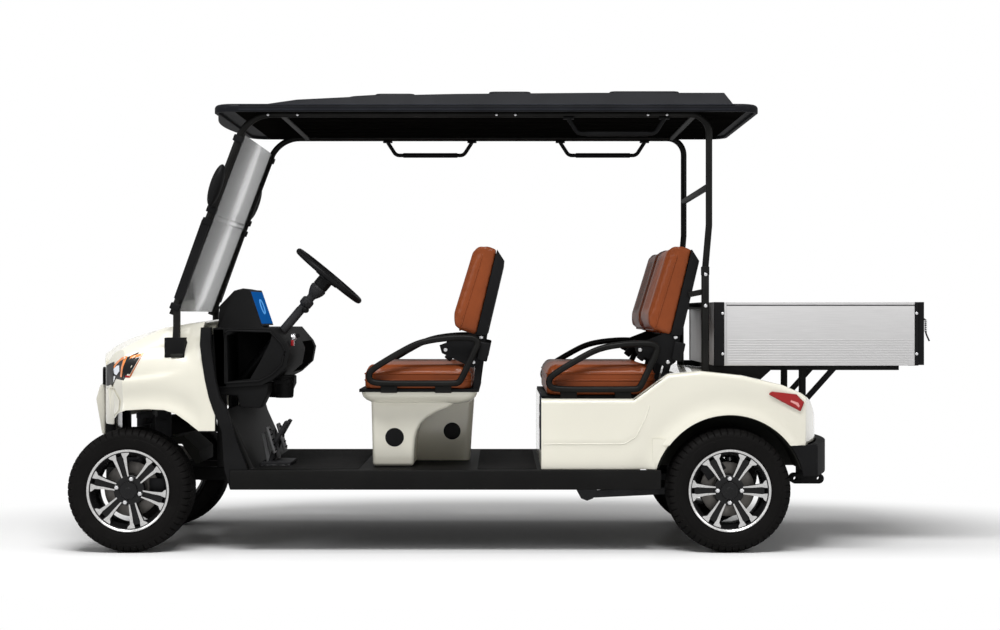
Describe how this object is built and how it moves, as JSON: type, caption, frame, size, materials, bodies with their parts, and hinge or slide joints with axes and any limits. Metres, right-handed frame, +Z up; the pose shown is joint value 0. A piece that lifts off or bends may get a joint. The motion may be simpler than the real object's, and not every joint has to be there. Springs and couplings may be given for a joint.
{
  "type": "four-seat electric golf cart with a rear cargo box",
  "caption": "Open electric golf cart with a roof, split windshield, two bench rows and a drop-gate cargo box; wheels roll, the front pair steers.",
  "frame": {"origin": "on the ground, under the middle of the overall length and width", "axes": "+X to the rear, +Y to the cart's right, +Z up"},
  "size_m": [3.658, 1.272, 1.9649],
  "materials": {
    "frame_black": "semi-gloss powder coat",
    "floor_mat": "ribbed matt black",
    "body_cream": "gloss cream",
    "trim_black": "grained matt black",
    "lamp_clear": "clear gloss over reflectors",
    "dash_black": "grained matt black",
    "glass": "light grey tint",
    "tube_black": "satin black",
    "roof_black": "gloss black",
    "steel_dark": "satin dark grey",
    "steel_bright": "plated",
    "seat_leather": "tan-brown, softly grained",
    "liner_black": "matt black",
    "lamp_red": "clear gloss red",
    "aluminium": "brushed",
    "battery_case": "matt grey",
    "wheel_grip": "soft-touch black",
    "tyre": "matt rubber",
    "rim_alloy": "machined faces over black"
  },
  "bodies": {
    "chassis": {"ladder_frame": "frame_black", "floor_deck": "floor_mat", "front_cowl": "body_cream", "nose_panel": "body_cream", "grille": "trim_black", "headlamps": "lamp_clear", "cowl_trim": "trim_black", "dashboard": "dash_black", "windshield": "glass", "canopy_frame": "tube_black", "rear_posts": "tube_black", "roof_panel": "roof_black", "grab_handles": "trim_black", "mirrors": "trim_black", "steering_column": "trim_black", "pedals": "steel_dark", "front_seat_base": "body_cream", "seat_frame_front": "trim_black", "cushion_front": "seat_leather", "backs_front": "seat_leather", "seat_frame_rear": "trim_black", "cushion_rear": "seat_leather", "backs_rear": "seat_leather", "armrests": "tube_black", "rear_body": "body_cream", "wheel_liners": "liner_black", "tail_lamps": "lamp_red", "rear_bumper": "trim_black", "tow_bracket": "frame_black", "cargo_box": "aluminium", "cargo_posts": "trim_black", "cargo_supports": "frame_black", "battery_pack": "battery_case", "front_suspension": "steel_dark", "rear_axle": "steel_dark", "rear_suspension": "steel_dark"},
    "knuckle_left": {"knuckle_left": "steel_dark"},
    "knuckle_right": {"knuckle_right": "steel_dark"},
    "steering_wheel": {"steering_wheel": "wheel_grip"},
    "steering_rack": {"tie_rods": "steel_bright"},
    "tailgate": {"tailgate": "aluminium"},
    "wheel_front_left": {"tyre_front_left": "tyre", "rim_front_left": "rim_alloy"},
    "wheel_front_right": {"tyre_front_right": "tyre", "rim_front_right": "rim_alloy"},
    "wheel_rear_left": {"tyre_rear_left": "tyre", "rim_rear_left": "rim_alloy"},
    "wheel_rear_right": {"tyre_rear_right": "tyre", "rim_rear_right": "rim_alloy"}
  },
  "joints": [
    {"name": "left_steer", "type": "hinge", "parent": "chassis", "child": "knuckle_left", "pos_m": [-1.567, -0.35, 0.262], "axis": [0, 0, 1], "range_deg": [-30, 30]},
    {"name": "right_steer", "type": "hinge", "parent": "chassis", "child": "knuckle_right", "pos_m": [-1.567, 0.35, 0.262], "axis": [0, 0, 1], "range_deg": [-30.5, 30.5]},
    {"name": "rack_slide", "type": "slide", "parent": "chassis", "child": "steering_rack", "axis": [0, 1, 0], "range_m": [-0.06, 0.06]},
    {"name": "steering_turn", "type": "hinge", "parent": "chassis", "child": "steering_wheel", "pos_m": [-0.75, -0.3, 1.17], "axis": [0.6428, 0, 0.766], "range_deg": [-455, 455]},
    {"name": "tailgate_drop", "type": "hinge", "parent": "chassis", "child": "tailgate", "pos_m": [1.8, 0, 0.793], "axis": [0, 1, 0], "range_deg": [0, 170]},
    {"name": "front_left_spin", "type": "hinge", "parent": "knuckle_left", "child": "wheel_front_left", "pos_m": [-1.567, -0.495, 0.262], "axis": [0, 1, 0], "continuous": true},
    {"name": "front_right_spin", "type": "hinge", "parent": "knuckle_right", "child": "wheel_front_right", "pos_m": [-1.567, 0.495, 0.262], "axis": [0, 1, 0], "continuous": true},
    {"name": "rear_left_spin", "type": "hinge", "parent": "chassis", "child": "wheel_rear_left", "pos_m": [0.96, -0.495, 0.262], "axis": [0, 1, 0], "continuous": true},
    {"name": "rear_right_spin", "type": "hinge", "parent": "chassis", "child": "wheel_rear_right", "pos_m": [0.96, 0.495, 0.262], "axis": [0, 1, 0], "continuous": true}
  ],
  "couplings": [
    {"joint": "right_steer", "follows": "left_steer", "ratio": 1},
    {"joint": "rack_slide", "follows": "left_steer", "m_per_rad": 0.11},
    {"joint": "steering_turn", "follows": "left_steer", "ratio": 15}
  ]
}
